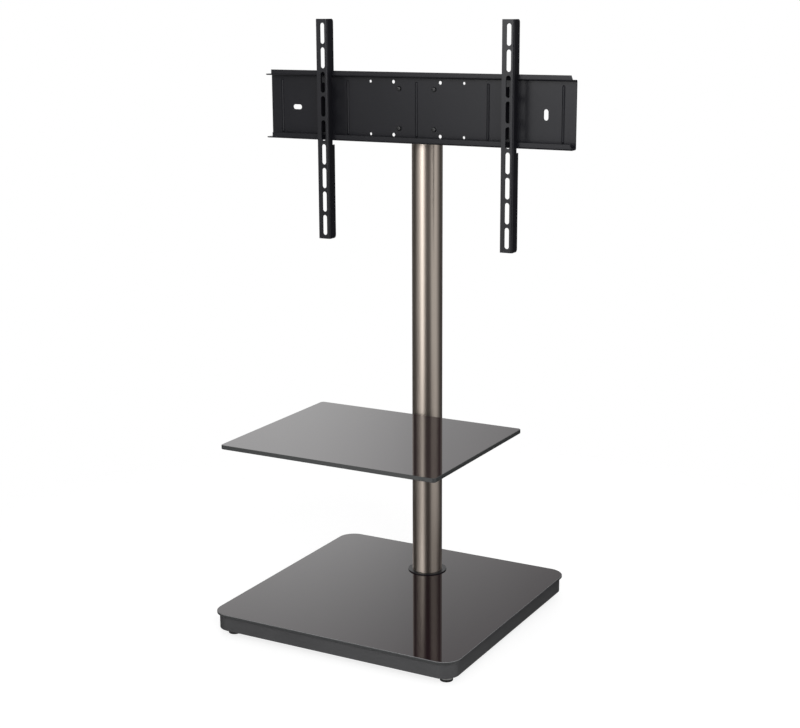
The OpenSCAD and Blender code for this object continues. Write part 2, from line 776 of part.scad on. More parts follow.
module shelf_discs() {
    color([0.75, 0.75, 0.76]) at_discs() difference() {
        rod_z(0, 0, bracket_top, shelf_z, disc_d);
        rod_z(0, 0, bracket_top - over, shelf_z - disc_t / 5, screw_d + 2 * fit);
    }
}

module shelf_screws() {
    color([0.3, 0.3, 0.3]) at_discs() difference() {
        union() {
            rod_z(0, 0, bracket_z - screw_head_h, bracket_z, screw_head_d);
            rod_z(0, 0, bracket_z - over, shelf_z - 2 * disc_t / 5, screw_d);
        }
        translate([0, 0, bracket_z - screw_head_h - over]) hexagon(screw_socket_w, socket_depth + over);
    }
}

module at_clamp_screws() {
    for (x = [-1, 1], z = [-1, 1])
        translate([x * clamp_screw_x, 0, clamp_z + clamp_h / 2 + z * clamp_screw_rise]) children();
}

module shelf_bracket() {
    color([0.14, 0.14, 0.15]) {
        difference() {
            translate([-clamp_w / 2, clamp_front, clamp_z])
                cube([clamp_w, pole_y - clamp_gap / 2 - clamp_front, clamp_h]);
            rod_z(0, pole_y, clamp_z - over, clamp_top + over, pole_d + 2 * fit);
            at_clamp_screws() rod_y(0, 0, clamp_front - over, pole_y, screw_d + 2 * fit);
        }
        difference() {
            translate([-bracket_w / 2, bracket_front, bracket_z])
                cube([bracket_w, clamp_front - bracket_front, bracket_t]);
            at_discs() rod_z(0, 0, bracket_z - over, bracket_top + over, screw_d + 2 * hole_ease);
        }
        for (s = [-1, 1])
            along_x(s * rib_pitch / 2 - bracket_t / 2, bracket_t)
                polygon([
                    [clamp_front, clamp_z],
                    [clamp_front + clamp_wall / 2, clamp_z],
                    [clamp_front + clamp_wall / 2, clamp_top],
                    [clamp_front, clamp_top],
                    [clamp_front, bracket_top],
                    [clamp_front - rib_reach, bracket_top],
                    [clamp_front - rib_reach, bracket_z]
                ]);
    }
}

module shelf_clamp() {
    color([0.14, 0.14, 0.15]) difference() {
        intersection() {
            union() {
                rod_z(0, pole_y, clamp_z, clamp_top, pole_d + 2 * clamp_wall);
                translate([-clamp_w / 2, ear_y, clamp_z]) cube([clamp_w, ear_t, clamp_h]);
            }
            translate([-clamp_w / 2, ear_y, clamp_z - over]) cube([clamp_w, pole_d, clamp_h + 2 * over]);
        }
        rod_z(0, pole_y, clamp_z - over, clamp_top + over, pole_d + 2 * fit);
        at_clamp_screws() rod_y(0, 0, pole_y, ear_back + over, screw_d + 2 * hole_ease);
    }
}

module clamp_screws() {
    color([0.3, 0.3, 0.3]) at_clamp_screws() difference() {
        union() {
            rod_y(0, 0, ear_back - clamp_screw_l, ear_back + over, screw_d);
            rod_y(0, 0, ear_back, ear_back + screw_head_h, screw_head_d);
        }
        translate([0, ear_back + screw_head_h - socket_depth, 0]) rotate([-90, 0, 0])
            hexagon(screw_socket_w, socket_depth + over);
    }
}

base_glass();
base_plinth();
base_plate();
foot_bushes();
pole_collar();
pole_washers();
pole_bolts();
pole_foot();
pole_tube();
pole_head();
head_bracket();
head_bolts();
rail();
rail_screws();
rail_nuts();
shelf_glass();
shelf_discs();
shelf_screws();
shelf_bracket();
shelf_clamp();
clamp_screws();
arm_left();
arm_right();
foot_front_left();
foot_front_right();
foot_back_left();
foot_back_right();
pad_front_left();
pad_front_right();
pad_back_left();
pad_back_right();
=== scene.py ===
from math import cos, pi, radians, sin, tau

import bmesh
import bpy
from mathutils import Matrix, Vector


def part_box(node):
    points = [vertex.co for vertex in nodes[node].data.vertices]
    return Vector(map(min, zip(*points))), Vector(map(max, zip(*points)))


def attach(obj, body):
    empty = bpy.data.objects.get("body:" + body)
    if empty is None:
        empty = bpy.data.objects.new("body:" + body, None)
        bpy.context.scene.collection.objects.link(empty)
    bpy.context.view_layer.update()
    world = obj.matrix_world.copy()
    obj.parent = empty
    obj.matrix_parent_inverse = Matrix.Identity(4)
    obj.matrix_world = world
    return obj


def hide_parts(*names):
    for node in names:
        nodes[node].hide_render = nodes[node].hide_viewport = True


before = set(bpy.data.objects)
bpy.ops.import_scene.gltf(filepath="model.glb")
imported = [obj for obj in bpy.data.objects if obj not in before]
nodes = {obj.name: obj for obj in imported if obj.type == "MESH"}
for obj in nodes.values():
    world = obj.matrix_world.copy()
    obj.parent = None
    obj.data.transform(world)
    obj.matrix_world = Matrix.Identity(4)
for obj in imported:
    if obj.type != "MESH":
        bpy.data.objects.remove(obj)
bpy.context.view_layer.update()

scene = bpy.context.scene
print("frame loaded,", len(nodes), "nodes")


def addObject(name, data):
    obj = bpy.data.objects.new(name, data)
    scene.collection.objects.link(obj)
    return obj


# set against the photo's own corners and holes
camera = {
    "place": (1.3902, -2.5119, 1.1849),
    "yaw": 0.501,  # radians to the left of +Y
    "pitch": 0.2308,  # radians downward
    "roll": -0.0043,
    "lens": 69.47,
    "sensor": 36.0,
    "clipEnd": 50,
}


def placeCamera(c):
    yaw, pitch, roll = c["yaw"], c["pitch"], c["roll"]
    forward = Vector((-sin(yaw) * cos(pitch), cos(yaw) * cos(pitch), -sin(pitch)))
    right = Vector((cos(yaw), sin(yaw), 0))
    up = right.cross(forward)
    turnedRight = right * cos(roll) + up * sin(roll)
    turnedUp = -right * sin(roll) + up * cos(roll)
    data = bpy.data.cameras.new("photoCamera")
    data.lens = c["lens"]
    data.sensor_width = c["sensor"]
    data.clip_end = c["clipEnd"]
    eye = addObject("photoCamera", data)
    facing = Matrix((turnedRight, turnedUp, -forward)).transposed().to_4x4()
    eye.matrix_world = Matrix.Translation(c["place"]) @ facing
    scene.camera = eye


placeCamera(camera)


def newMaterial(name):
    mat = bpy.data.materials.new(name)
    mat.use_nodes = True
    return mat, mat.node_tree, mat.node_tree.nodes["Principled BSDF"]


def bareMaterial(name):
    mat = bpy.data.materials.new(name)
    mat.use_nodes = True
    mat.node_tree.nodes.clear()
    return mat, mat.node_tree


def addNode(tree, kind, settings=None, **inputs):
    # an input goes by its name, or by i and its number
    node = tree.nodes.new("ShaderNode" + kind)
    for key, value in (settings or {}).items():
        setattr(node, key, value)
    for key, value in inputs.items():
        numbered = key[0] == "i" and key[1:].isdigit()
        socket = node.inputs[int(key[1:]) if numbered else key.replace("_", " ")]
        if isinstance(value, bpy.types.NodeSocket):
            tree.links.new(value, socket)
        else:
            socket.default_value = value
    return node


def calc(tree, operation, *values):
    inputs = {"i" + str(k): value for k, value in enumerate(values)}
    return addNode(tree, "Math", {"operation": operation}, **inputs).outputs[0]


def grey(level):
    return (level, level, level, 1)


def ramp(tree, factor, stops):
    node = addNode(tree, "ValToRGB", Fac=factor)
    while len(node.color_ramp.elements) < len(stops):
        node.color_ramp.elements.new(1)
    for element, (place, colour) in zip(node.color_ramp.elements, stops):
        element.position = place
        element.color = (*colour, 1) if isinstance(colour, tuple) else grey(colour)
    return node.outputs["Color"]


def spread(tree, value, low, high):
    return addNode(tree, "MapRange", None, Value=value, To_Min=low, To_Max=high).outputs["Result"]


def rise(tree, value, low, high, kind="SMOOTHSTEP"):
    node = addNode(tree, "MapRange", {"interpolation_type": kind}, Value=value, From_Min=low, From_Max=high)
    return node.outputs["Result"]


def mixColours(tree, factor, first, second):
    return addNode(tree, "Mix", {"data_type": "RGBA"}, i0=factor, i6=first, i7=second).outputs[2]


def dimmed(tree, colour, shade):
    return addNode(tree, "VectorMath", {"operation": "MULTIPLY"}, i0=colour, i1=shade).outputs[0]


def coordinates(tree, stretch=(1, 1, 1)):
    place = addNode(tree, "TexCoord").outputs["Object"]
    return addNode(tree, "Mapping", None, Vector=place, Scale=stretch).outputs["Vector"]


def noise(tree, place, scale, detail=3, roughness=0.5):
    node = addNode(tree, "TexNoise", None, Vector=place, Scale=scale, Detail=detail, Roughness=roughness)
    return node.outputs["Fac"]


def tinted(colour, share):
    return tuple(v * share for v in colour)


def setSurface(tree, shader, colour, roughness, height, depth):
    # depth is the height of the bumps in metres
    tree.links.new(colour, shader.inputs["Base Color"])
    tree.links.new(roughness, shader.inputs["Roughness"])
    relief = addNode(tree, "Bump", None, Height=height, Distance=depth, Strength=1.0)
    tree.links.new(relief.outputs["Normal"], shader.inputs["Normal"])


glass = {
    "colour": (0.017, 0.008, 0.011),  # a faint warm tint under the polish
    "edgeColour": (0.042, 0.044, 0.044),
    "flatColour": (0.17, 0.17, 0.175),  # the ground flats round the base pane
    "ior": 1.52,
    "polish": (0.015, 0.035),  # least and most roughness of the polished faces
    "smears": {"stretch": (3, 11, 3), "scale": 4, "detail": 4, "roughness": 0.6},
    "level": 0.98,  # a face whose normal is nearer to upright than this is polished
    "slanted": (0.4, 0.9),  # and one between these is a ground flat
    "groundEdge": (0.22, 0.38),
    "grain": {"scale": 900, "detail": 2},
    "wave": {"scale": 7, "detail": 1, "depth": 0.00002},  # the float glass isn't quite flat
}


def makeGlass(name, g, paleFlats):
    mat, tree, shader = newMaterial(name)
    shader.inputs["IOR"].default_value = g["ior"]
    place = coordinates(tree)
    smears, grain, wave = g["smears"], g["grain"], g["wave"]
    smeared = noise(tree, coordinates(tree, smears["stretch"]), smears["scale"], smears["detail"],
                    smears["roughness"])
    polished = spread(tree, smeared, *g["polish"])
    normal = addNode(tree, "NewGeometry").outputs["Normal"]
    upward = addNode(tree, "SeparateXYZ", None, Vector=normal).outputs["Z"]
    flat = calc(tree, "GREATER_THAN", calc(tree, "ABSOLUTE", upward), g["level"])
    edge = spread(tree, noise(tree, place, grain["scale"], grain["detail"]), *g["groundEdge"])
    rough = addNode(tree, "Mix", {"data_type": "FLOAT"}, i0=flat, i2=edge, i3=polished).outputs[0]
    border = (*g["edgeColour"], 1)
    if paleFlats:
        least, most = g["slanted"]
        ground = calc(tree, "MULTIPLY", calc(tree, "GREATER_THAN", upward, least),
                      calc(tree, "LESS_THAN", upward, most))
        border = mixColours(tree, ground, border, (*g["flatColour"], 1))
    colour = mixColours(tree, flat, border, (*g["colour"], 1))
    ripples = noise(tree, place, wave["scale"], wave["detail"])
    setSurface(tree, shader, colour, rough, ripples, wave["depth"])
    return mat


# peel is the orange peel of the sprayed coats, in metres
coats = {
    "powderCoat": {"colour": (0.009, 0.009, 0.0115), "specular": 0.33, "rough": (0.28, 0.37),
                   "peel": 0.00004, "peelScale": 700},
    # the rail's copy of the powder coat is a little darker and less shiny: painted shade, as the rail takes
    # less of the light than the arms
    "shadedRailCoat": {"colour": (0.008, 0.008, 0.0105), "specular": 0.27, "rough": (0.28, 0.37),
                 "peel": 0.00004, "peelScale": 700},
    "weldCoat": {"colour": (0.012, 0.012, 0.013), "specular": 0.5, "rough": (0.26, 0.36),
                 "peel": 0.00006, "peelScale": 900},
    "blackScrew": {"colour": (0.010, 0.010, 0.011), "specular": 0.5, "rough": (0.24, 0.34),
                   "peel": 0.00001, "peelScale": 1500},
    "plinthPaint": {"colour": (0.056, 0.056, 0.058), "specular": 0.5, "rough": (0.38, 0.46),
                    "peel": 0.00002, "peelScale": 500},
}
coatWear = {"cloudScale": 9, "dark": 0.9, "light": 1.12, "stops": (0.3, 0.7), "rubScale": 160,
            "peelDetail": 2}


def makeCoat(name, c, wear):
    mat, tree, shader = newMaterial(name)
    shader.inputs["Specular IOR Level"].default_value = c["specular"]
    place = coordinates(tree)
    low, high = wear["stops"]
    colour = ramp(tree, noise(tree, place, wear["cloudScale"]),
                  [(low, tinted(c["colour"], wear["dark"])), (high, tinted(c["colour"], wear["light"]))])
    rough = spread(tree, noise(tree, place, wear["rubScale"]), *c["rough"])
    peel = noise(tree, place, c["peelScale"], wear["peelDetail"])
    setSurface(tree, shader, colour, rough, peel, c["peel"])
    return mat


# grain is how much finer the marks are along each axis
metals = {
    "brushedPole": {"colour": (0.64, 0.56, 0.49), "rough": (0.33, 0.39), "grain": (60, 60, 2600),
                    "depth": 0.000004, "brushed": 0.9, "turn": 0.25},
    "turnedSteel": {"colour": (0.56, 0.56, 0.55), "rough": (0.28, 0.4), "grain": (90, 90, 1500),
                    "depth": 0.000008},
    "blackOxide": {"colour": (0.09, 0.09, 0.095), "rough": (0.3, 0.45), "grain": (300, 300, 300),
                   "depth": 0.00001},
    "aluminium": {"colour": (0.78, 0.78, 0.79), "rough": (0.25, 0.35), "grain": (200, 200, 2000),
                  "depth": 0.000005},
}
metalWear = {
    "fine": {"detail": 4, "roughness": 0.65, "share": 0.6},
    "cloud": {"stretch": (14, 14, 5), "detail": 2, "share": 0.4},
    "dark": 0.94, "light": 1.04, "stops": (0.3, 0.7),
}


def makeMetal(name, m, wear):
    mat, tree, shader = newMaterial(name)
    shader.inputs["Metallic"].default_value = 1
    fine, cloud = wear["fine"], wear["cloud"]
    marks = noise(tree, coordinates(tree, m["grain"]), 1, fine["detail"], fine["roughness"])
    clouds = noise(tree, coordinates(tree, cloud["stretch"]), 1, cloud["detail"])
    tone = calc(tree, "ADD", calc(tree, "MULTIPLY", marks, fine["share"]),
                calc(tree, "MULTIPLY", clouds, cloud["share"]))
    low, high = wear["stops"]
    colour = ramp(tree, tone, [(low, tinted(m["colour"], wear["dark"])),
                               (high, tinted(m["colour"], wear["light"]))])
    setSurface(tree, shader, colour, spread(tree, marks, *m["rough"]), marks, m["depth"])
    if "brushed" in m:
        shader.inputs["Anisotropic"].default_value = m["brushed"]
        shader.inputs["Anisotropic Rotation"].default_value = m["turn"]
        around = addNode(tree, "Tangent", {"direction_type": "RADIAL", "axis": "Z"}).outputs["Tangent"]
        tree.links.new(around, shader.inputs["Tangent"])
    return mat


# dust and skin hold a noise's scale and detail
softFinishes = {
    "blackRubber": {"colours": [(0.35, (0.018, 0.018, 0.018)), (0.8, (0.0324, 0.0324, 0.0324))],
                    "rough": (0.7, 0.85), "dust": (220, 4), "skin": (1500, 2), "depth": 0.00004},
    "clearGlue": {"colours": [(0.3, (0.527, 0.527, 0.493)), (0.7, (0.62, 0.62, 0.58))],
                  "rough": (0.12, 0.3), "dust": (350, 3), "skin": (600, 2), "depth": 0.00005},
}


def makeSoft(name, s):
    mat, tree, shader = newMaterial(name)
    place = coordinates(tree)
    dust = noise(tree, place, *s["dust"])
    setSurface(tree, shader, ramp(tree, dust, s["colours"]), spread(tree, dust, *s["rough"]),
               noise(tree, place, *s["skin"]), s["depth"])
    return mat


finishes = {name: makeMetal(name, m, metalWear) for name, m in metals.items()}
finishes.update({name: makeCoat(name, c, coatWear) for name, c in coats.items()})
finishes["basePane"] = makeGlass("basePane", glass, True)
finishes["shelfPane"] = makeGlass("shelfPane", glass, False)
finishes.update({name: makeSoft(name, s) for name, s in softFinishes.items()})

coatedNodes = {
    "basePane": ["base_glass"],
    "shelfPane": ["shelf_glass"],
    "plinthPaint": ["base_plinth", "base_plate"],
    # the rail wears the darker copy of the powder coat, which is painted shade
    "shadedRailCoat": ["rail"],
    "powderCoat": ["arm_left", "arm_right", "head_bracket", "pole_collar", "shelf_bracket", "shelf_clamp"],
    "brushedPole": ["pole_tube"],
    "turnedSteel": ["foot_bushes", "pole_foot", "pole_head", "foot_front_left", "foot_front_right",
                    "foot_back_left", "foot_back_right"],
    "blackOxide": ["clamp_screws", "head_bolts", "pole_bolts", "rail_screws", "shelf_screws",
                   "pole_washers", "rail_nuts"],
    "aluminium": ["shelf_discs"],
    "blackRubber": ["pad_front_left", "pad_front_right", "pad_back_left", "pad_back_right"],
}
for finishName, pieceNames in coatedNodes.items():
    for pieceName in pieceNames:
        nodes[pieceName].data.materials.clear()
        nodes[pieceName].data.materials.append(finishes[finishName])
print("finishes ready,", len(finishes))

# folded and cut metal has a small rounded edge that catches the light
softEdges = {
    "rail": 0.0006, "arm_left": 0.0008, "arm_right": 0.0008, "base_plinth": 0.0005,
    "pole_collar": 0.0004, "head_bracket": 0.0005, "shelf_bracket": 0.0005, "shelf_clamp": 0.0007,
    "base_plate": 0.0008,
}
edgeWork = {"join": 0.00001, "flatAngle": 0.5, "cornerAngle": 38, "segments": 2}


def softenEdges(widths, e):
    for name, width in widths.items():
        piece = nodes[name]
        weld = piece.modifiers.new("joinCorners", "WELD")
        weld.merge_threshold = e["join"]
        flats = piece.modifiers.new("joinFlats", "DECIMATE")
        flats.decimate_type = "DISSOLVE"
        flats.angle_limit = radians(e["flatAngle"])
        edge = piece.modifiers.new("softEdge", "BEVEL")
        edge.width = width
        edge.segments = e["segments"]
        edge.limit_method = "ANGLE"
        edge.angle_limit = radians(e["cornerAngle"])
        edge.use_clamp_overlap = True
        shade = piece.modifiers.new("evenShade", "WEIGHTED_NORMAL")
        shade.keep_sharp = False


softenEdges(softEdges, edgeWork)
print("edges softened")

sharpAngle = 32  # degrees, edges of the made pieces that stay sharp
rowsPerTurn = 4  # rings for each turn of a thread
tip = 0.0001  # radius at which a closed end meets its middle


def newPiece(name, work, mat, body, slotName, *replaced):
    bmesh.ops.recalc_face_normals(work, faces=work.faces)
    mesh = bpy.data.meshes.new(name)
    work.to_mesh(mesh)
    work.free()
    mesh.materials.append(mat)
    mesh.shade_smooth()
    mesh.set_sharp_from_angle(angle=radians(sharpAngle))
    piece = addObject(name, mesh)
    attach(piece, body)
    if replaced:
        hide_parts(*replaced)
    return piece


def ring(work, radius, height, turns, place):
    # radius is a length, or a function of the angle
    made = []
    for i in range(turns):
        angle = tau * i / turns
        r = radius(angle) if callable(radius) else radius
        made.append(work.verts.new(place @ Vector((r * cos(angle), r * sin(angle), height))))
    return made


def rings(work, profile, turns, place):
    return [ring(work, radius, height, turns, place) for radius, height in profile]


def skin(work, made, closed):
    pairs = zip(made, made[1:] + made[:1]) if closed else zip(made, made[1:])
    for low, high in pairs:
        for i in range(len(low)):
            k = (i + 1) % len(low)
            work.faces.new((low[i], low[k], high[k], high[i]))
    if not closed:
        work.faces.new(reversed(made[0]))
        work.faces.new(made[-1])


def sixSided(flats):
    return lambda angle: flats / 2 / cos((angle % (tau / 6)) - tau / 12)


def knurled(radius, depth, turns):
    return lambda angle: radius - depth * (1 + cos(angle * turns / 2)) / 2


def threaded(radius, depth, pitch, height):
    def at(angle):
        step = (height / pitch - angle / tau) % 1
        return radius - depth * abs(2 * step - 1)
    return at


def threadRings(work, s, radius, start, end, place):
    # a thread along the local Z, which runs out at its far end
    rows = max(rowsPerTurn, round(abs(end - start) / s["pitch"] * rowsPerTurn))
    made = []
    for i in range(rows + 1):
        height = start + (end - start) * i / rows
        inner = radius - s["threadDeep"] * (1 - min(1, (rows - i) / rowsPerTurn))
        shape = threaded(inner, s["threadDeep"], s["pitch"], height)
        made.append(ring(work, shape, height, s["turns"], place))
    return made


# plain is the length without thread under the head
railScrew = {"head": 0.0095, "headHigh": 0.003, "socket": 0.0025, "socketDeep": 0.0015, "easing": 0.0003,
             "shank": 0.005, "length": 0.0125, "plain": 0.001, "pitch": 0.0008, "threadDeep": 0.0004,
             "domed": True, "turns": 36}
poleBolt = {"head": 0.013, "headHigh": 0.008, "socket": 0.006, "socketDeep": 0.004, "easing": 0.0005,
            "shank": 0.008, "length": 0.0336, "plain": 0.01008, "pitch": 0.00125, "threadDeep": 0.0006,
            "domed": False, "knurl": 0.0002, "turns": 48}
headBolt = dict(poleBolt, length=0.023, plain=0.0069)
clampScrew = {"head": 0.010, "headHigh": 0.004, "socket": 0.005, "socketDeep": 0.002, "easing": 0.0004,
              "shank": 0.006, "length": 0.032, "plain": 0.0096, "pitch": 0.001, "threadDeep": 0.0005,
              "domed": True, "turns": 36}
shelfScrew = dict(clampScrew, length=0.008, plain=0.001)
screwWork = {"dish": 0.0003, "neck": 0.0002, "neckHigh": 0.0006, "endShare": 0.55}
# a button head, as shares of its radius and height
dome = {"rows": 7, "sweep": (8, 78), "flatShare": 0.55, "footShare": 0.25, "lean": 0.98, "rimShare": 0.16,
        "seatShare": 0.985}


def headProfile(s):
    # from the socket's floor up, over the rim and down to the seat
    top, radius, e = s["headHigh"], s["head"] / 2, s["easing"]
    socket, floor = sixSided(s["socket"]), top - s["socketDeep"]
    profile = [(tip, floor - screwWork["dish"]), (socket, floor), (socket, top - 0.3 * e),
               (sixSided(s["socket"] + 0.5 * e), top)]
    if s["domed"]:
        first, last = dome["sweep"]
        flat, foot = dome["flatShare"], dome["footShare"]
        for i in range(dome["rows"]):
            a = radians(first + (last - first) * i / (dome["rows"] - 1))
            profile.append((radius * (flat + (1 - flat) * sin(a)),
                            top * (foot + (1 - foot) * cos(a * dome["lean"]))))
        return profile + [(radius, top * dome["rimShare"]), (radius * dome["seatShare"], 0)]
    side = knurled(radius, s["knurl"], s["turns"])
    return profile + [(radius - e, top), (radius - 0.4 * e, top - 0.35 * e), (radius, top - e),
                      (side, top - 1.3 * e), (side, 1.2 * e), (radius - 0.2 * e, 0.8 * e),
                      (radius - 0.6 * e, 0)]


def screw(work, s, place):
    shank, length = s["shank"] / 2, s["length"]
    neck = [(shank + screwWork["neck"], 0), (shank, -screwWork["neckHigh"])]
    made = rings(work, headProfile(s) + neck, s["turns"], place)
    made += threadRings(work, s, shank, -s["plain"], -length, place)
    made.append(ring(work, shank * screwWork["endShare"], -length, s["turns"], place))
    skin(work, made, False)


nut = {"flats": 0.008, "corners": 0.0088, "high": 0.004, "hole": 0.0051, "turns": 36, "easing": 0.0004}


def nutShape(work, n, place):
    # a hexagon whose corners are turned down at both faces
    hexagon, corner = sixSided(n["flats"]), n["corners"] / 2
    hole, e, top = n["hole"] / 2, n["easing"], n["high"]
    full = lambda angle: min(hexagon(angle), corner)
    eased = lambda angle: min(hexagon(angle), corner - e)
    profile = [(hole, e), (hole + e, 0), (eased, 0), (full, e), (full, top - e), (eased, top),
               (hole + e, top), (hole, top - e)]
    skin(work, rings(work, profile, n["turns"], place), True)


washer = {"outer": 0.016, "hole": 0.0086, "high": 0.0016, "easing": 0.0003, "turns": 48}


def washerShape(work, w, place):
    outer, hole, e, top = w["outer"] / 2, w["hole"] / 2, w["easing"], w["high"]
    profile = [(hole, e), (hole + e, 0), (outer - e, 0), (outer - 0.3 * e, 0.3 * e), (outer, e),
               (outer, top - e), (outer - 0.3 * e, top - 0.3 * e), (outer - e, top), (hole + e, top),
               (hole, top - e)]
    skin(work, rings(work, profile, w["turns"], place), True)


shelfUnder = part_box("shelf_glass")[0].z  # the shelf's parts follow this height
fasteners = {
    "pole": (0, 0.140), "bolts": (90, 210, 330), "poleBolts": 0.016, "headBolts": 0.010,
    "poleSeat": 0.0354, "headSeat": 0.927,  # heights of the bolts' heads
    "railScrews": 0.0375, "railHeight": 0.986, "railFront": 0.096, "plateBack": 0.1035,
    "clampX": 0.042, "clampY": 0.1535, "clampDrops": (0.0575, 0.0325),
    "shelfX": 0.060, "shelfY": (-0.085, 0.065), "shelfDrop": 0.010,
}


def standing(x, y, z, axis):
    # local +Z, the way that the head points, along the given axis
    return Matrix.Translation((x, y, z)) @ Vector(axis).to_track_quat("Z", "Y").to_matrix().to_4x4()


def aroundPole(p, reach, height, axis):
    x, y = p["pole"]
    return [standing(x + reach * cos(radians(turn)), y + reach * sin(radians(turn)), height, axis)
            for turn in p["bolts"]]


def onRail(p, y, axis):
    reach = p["railScrews"]
    return [standing(x * reach, y, p["railHeight"] + z * reach, axis) for x in (-1, 1) for z in (-1, 1)]


def onClamp(p):
    return [standing(x * p["clampX"], p["clampY"], shelfUnder - drop, (0, 1, 0))
            for x in (-1, 1) for drop in p["clampDrops"]]


def underShelf(p):
    return [standing(x * p["shelfX"], y, shelfUnder - p["shelfDrop"], (0, 0, -1))
            for x in (-1, 1) for y in p["shelfY"]]


def placeSet(name, shape, sizes, spots, finish, body, slotName, node):
    work = bmesh.new()
    for spot in spots:
        shape(work, sizes, spot)
    newPiece(name, work, finishes[finish], body, slotName, node)


def placeFasteners(p):
    down, up, front, back = (0, 0, -1), (0, 0, 1), (0, -1, 0), (0, 1, 0)
    placeSet("railScrewSet", screw, railScrew, onRail(p, p["railFront"], front),
             "blackScrew", "stand", "fasteners", "rail_screws")
    placeSet("poleBoltSet", screw, poleBolt, aroundPole(p, p["poleBolts"], p["poleSeat"], down),
             "blackOxide", "stand", "fasteners", "pole_bolts")
    placeSet("headBoltSet", screw, headBolt, aroundPole(p, p["headBolts"], p["headSeat"], up),
             "blackOxide", "stand", "fasteners", "head_bolts")
    placeSet("clampScrewSet", screw, clampScrew, onClamp(p),
             "blackOxide", "shelf", "fasteners", "clamp_screws")
    placeSet("shelfScrewSet", screw, shelfScrew, underShelf(p),
             "blackOxide", "shelf", "fasteners", "shelf_screws")
    placeSet("railNutSet", nutShape, nut, onRail(p, p["plateBack"], back),
             "turnedSteel", "stand", "turned_steel", "rail_nuts")
    placeSet("poleWasherSet", washerShape, washer, aroundPole(p, p["poleBolts"], p["poleSeat"], up),
             "turnedSteel", "stand", "fasteners", "pole_washers")


placeFasteners(fasteners)

feet = {
    "place": (0.229, 0.223), "padHigh": 0.004, "discHigh": 0.006, "disc": 0.024, "stud": 0.008,
    "studTop": 0.031, "studPlain": 0.002, "pitch": 0.00125, "threadDeep": 0.0006, "easing": 0.0006,
    "knurl": 0.0003, "turns": 72,
}
pads = {
    "turns": 60, "dimple": (0.003, 0.0006), "grooves": ((0.0055, 0.007), (0.0085, 0.010)),
    "grooveDeep": 0.0008, "slope": 0.0004, "rimIn": 0.0003,
}


def footShape(work, f, place):
    outer, e, low, stud = f["disc"] / 2, f["easing"], f["padHigh"], f["stud"] / 2
    top = low + f["discHigh"]
    side = knurled(outer, f["knurl"], f["turns"])
    profile = [(outer * 0.5, low), (outer - e, low), (outer, low + e), (side, low + 1.2 * e),
               (side, top - 1.4 * e), (outer, top - 1.2 * e), (outer - 0.35 * e, top - 0.3 * e),
               (outer - 1.2 * e, top), (stud + 2 * e, top), (stud, top + e)]
    made = rings(work, profile, f["turns"], place)
    made += threadRings(work, f, stud, top + f["studPlain"], f["studTop"], place)
    skin(work, made, False)


def padShape(work, f, p, place):
    # a moulded pad with a dimple and two grooves underneath
    outer, high, lip = f["disc"] / 2, f["padHigh"], f["padHigh"] / 4
    slope, deep = p["slope"], p["grooveDeep"]
    middle, dish = p["dimple"]
    profile = [(tip, dish), (middle, dish), (middle + slope, 0)]
    for inner, far in p["grooves"]:
        profile += [(inner, 0), (inner + slope, deep), (far - slope, deep), (far, 0)]
    profile += [(outer - lip, 0), (outer - 0.3 * lip, 0.35 * lip), (outer, lip), (outer, high - slope),
                (outer - p["rimIn"], high), (tip, high)]
    skin(work, rings(work, profile, p["turns"], place), False)


def placeFeet(f, p):
    x, y = f["place"]
    corners = {"front_left": (-x, -y), "front_right": (x, -y), "back_left": (-x, y), "back_right": (x, y)}
    for corner, spot in corners.items():
        place = Matrix.Translation((*spot, 0))
        name = "".join(word.capitalize() for word in corner.split("_"))
        body = "leveller_" + corner
        work = bmesh.new()
        footShape(work, f, place)
        newPiece("foot" + name, work, finishes["turnedSteel"], body, "turned_steel", "foot_" + corner)
        work = bmesh.new()
        padShape(work, f, p, place)
        newPiece("pad" + name, work, finishes["blackRubber"], body, "foot_rubber", "pad_" + corner)


placeFeet(feet, pads)

glassDisc = {"width": 0.030, "high": 0.005, "easing": 0.0006, "hole": 0.0061, "turns": 72}
# glue squeezed out round a disc, its phase in radians for each metre along Y
fillet = {"high": 0.0011, "under": 0.0004, "waver": 0.00012, "waves": 5, "phase": 40}


def discProfile(d, base):
    outer, hole, e, top = d["width"] / 2, d["hole"] / 2, d["easing"], base + d["high"]
    return [(hole, base + e), (hole + e, base), (outer - e, base), (outer - 0.3 * e, base + 0.3 * e),
            (outer, base + e), (outer, top), (hole, top)]


def filletProfile(f, outer, top, phase):
    # its outer side isn't quite round
    high = f["high"]
    wavering = lambda r: lambda angle: r + f["waver"] * sin(f["waves"] * angle + phase)
    return [(outer - f["under"], top), (outer, top - high),
            (wavering(outer + 0.25 * high), top - 0.45 * high),
            (wavering(outer + 0.6 * high), top - 0.15 * high), (wavering(outer + high), top)]


def placeDiscs(d, f, p):
    discs, glue = bmesh.new(), bmesh.new()
    outer, base = d["width"] / 2, shelfUnder - d["high"]
    for x in (-1, 1):
        for y in p["shelfY"]:
            spot = Matrix.Translation((x * p["shelfX"], y, 0))
            skin(discs, rings(discs, discProfile(d, base), d["turns"], spot), True)
            bead = filletProfile(f, outer, shelfUnder, f["phase"] * y)
            skin(glue, rings(glue, bead, d["turns"], spot), True)
    newPiece("glassDiscSet", discs, finishes["aluminium"], "shelf", "disc_aluminium", "shelf_discs")
    newPiece("glueFillets", glue, finishes["clearGlue"], "shelf", "disc_aluminium")


placeDiscs(glassDisc, fillet, fasteners)

welds = {
    "size": 0.0022, "step": 0.0024, "turns": 10, "rowsPerStep": 4, "leastRows": 8,
    "endShare": 0.35, "endRows": 5,  # the bead thins out over its first and last rows
    "scaleSwell": 0.13, "scalePhase": 0.6, "wobble": 0.05, "wobbleTurn": 1.7,
}
shelfSeams = {"ribs": 0.032, "ribHalf": 0.0025, "along": (-0.040, 0.095), "alongDrop": 0.010,
              "plateY": 0.103, "plateDrops": (0.062, 0.020)}
headSeams = {"ribs": 0.018, "plateY": 0.1035, "rise": (0.940, 1.012), "floor": 0.927,
             "along": (0.112, 0.142)}


